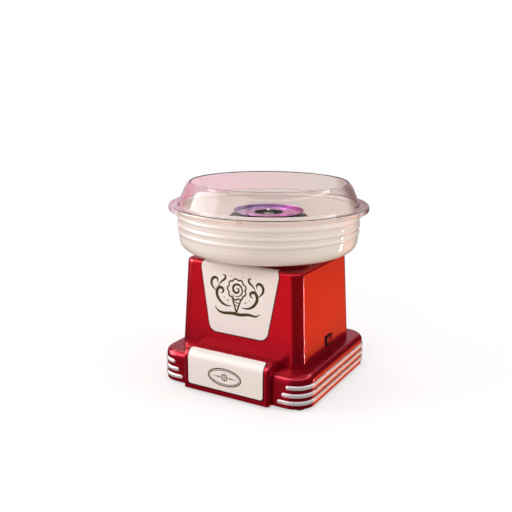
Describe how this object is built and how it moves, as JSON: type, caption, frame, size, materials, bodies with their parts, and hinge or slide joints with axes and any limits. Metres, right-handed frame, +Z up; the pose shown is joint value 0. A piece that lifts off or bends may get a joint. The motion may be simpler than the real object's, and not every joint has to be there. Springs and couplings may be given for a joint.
{
  "type": "cotton candy machine",
  "caption": "Tabletop cotton candy maker: a spinning heated extractor head in a floss bowl with a clear rim guard, on a tapered tower with a stepped plinth and a rocker switch.",
  "frame": {"origin": "on the bowl's and spindle's axis, at the surface that the feet stand on", "axes": "+Z up along the spindle, -Y the front with the badge plate, +X the side with the rocker switch"},
  "size_m": [0.292, 0.292, 0.2937],
  "materials": {
    "red_shell": "candy-apple red metallic lacquer on moulded plastic",
    "cream_panel": "satin cream plastic",
    "silver_trim": "silver-plated plastic, satin",
    "dark_cover": "fine grain",
    "foot_rubber": "matte",
    "screw_steel": "zinc plated",
    "black_plastic": "semi-gloss heat-resistant plastic",
    "bright_aluminium": "bright spun",
    "heater_steel": "oxidised by heat",
    "white_ceramic": "unglazed",
    "motor_steel": "pressed sheet",
    "magnet_iron": "sintered",
    "bearing_bronze": "sintered bronze",
    "red_rocker": "translucent red plastic",
    "lead_cover": "silicone covered wire",
    "shaft_steel": "ground",
    "winding_copper": "enamelled copper",
    "polished_head": "mirror polished",
    "bowl_cream": "creamy white, slightly translucent",
    "clear_guard": "clear, gloss"
  },
  "bodies": {
    "base": {"plinth_shell": "red_shell", "tower_shell": "red_shell", "badge_box": "red_shell", "front_panel": "cream_panel", "badge_plate": "cream_panel", "trim_strip_bottom": "silver_trim", "trim_strip_middle": "silver_trim", "trim_strip_top": "silver_trim", "bottom_cover": "dark_cover", "foot_front_left": "foot_rubber", "foot_front_right": "foot_rubber", "foot_rear_left": "foot_rubber", "foot_rear_right": "foot_rubber", "foot_screws": "screw_steel", "tower_screws": "screw_steel", "badge_box_screws": "screw_steel", "housing_screws": "screw_steel", "bracket_screws": "screw_steel", "motor_screws": "screw_steel", "cord_gland": "black_plastic", "heater_housing": "black_plastic", "heater_reflector": "bright_aluminium", "heating_element": "heater_steel", "heater_insulators": "white_ceramic", "thermal_cutout": "screw_steel", "terminal_block": "white_ceramic", "motor_can": "motor_steel", "motor_end_cap": "black_plastic", "motor_magnets": "magnet_iron", "motor_brushes": "magnet_iron", "upper_bearing": "bearing_bronze", "lower_bearing": "bearing_bronze", "motor_bracket": "motor_steel", "motor_dampers": "foot_rubber", "switch_body": "black_plastic", "switch_terminals": "bearing_bronze", "switch_lead": "lead_cover", "motor_lead": "lead_cover", "heater_leads": "lead_cover"},
    "spindle": {"spindle_shaft": "shaft_steel", "drive_pin": "shaft_steel", "tip_pin": "shaft_steel", "armature_core": "motor_steel", "armature_windings": "winding_copper", "commutator": "winding_copper", "cooling_fan": "black_plastic"},
    "extractor_head": {"head_pan": "bright_aluminium", "head_hub": "shaft_steel", "head_band": "bright_aluminium", "head_lid": "polished_head", "head_spacers": "shaft_steel"},
    "bowl": {"floss_bowl": "bowl_cream"},
    "rim_guard": {"rim_guard": "clear_guard"},
    "rocker": {"switch_rocker": "red_rocker"}
  },
  "joints": [
    {"name": "spindle_spin", "type": "hinge", "parent": "base", "child": "spindle", "pos_m": [0, 0, 0.184], "axis": [0, 0, 1], "continuous": true},
    {"name": "head_lift", "type": "slide", "parent": "spindle", "child": "extractor_head", "axis": [0, 0, 1], "range_m": [0, 0.06]},
    {"name": "bowl_lift", "type": "slide", "parent": "base", "child": "bowl", "axis": [0, 0, 1], "range_m": [0, 0.1]},
    {"name": "guard_lift", "type": "slide", "parent": "bowl", "child": "rim_guard", "axis": [0, 0, 1], "range_m": [0, 0.08]},
    {"name": "rocker_press", "type": "hinge", "parent": "base", "child": "rocker", "pos_m": [0.09518, 0.006, 0.06479], "axis": [-0.0518, 0, 0.9987], "range_deg": [0, 18]}
  ]
}
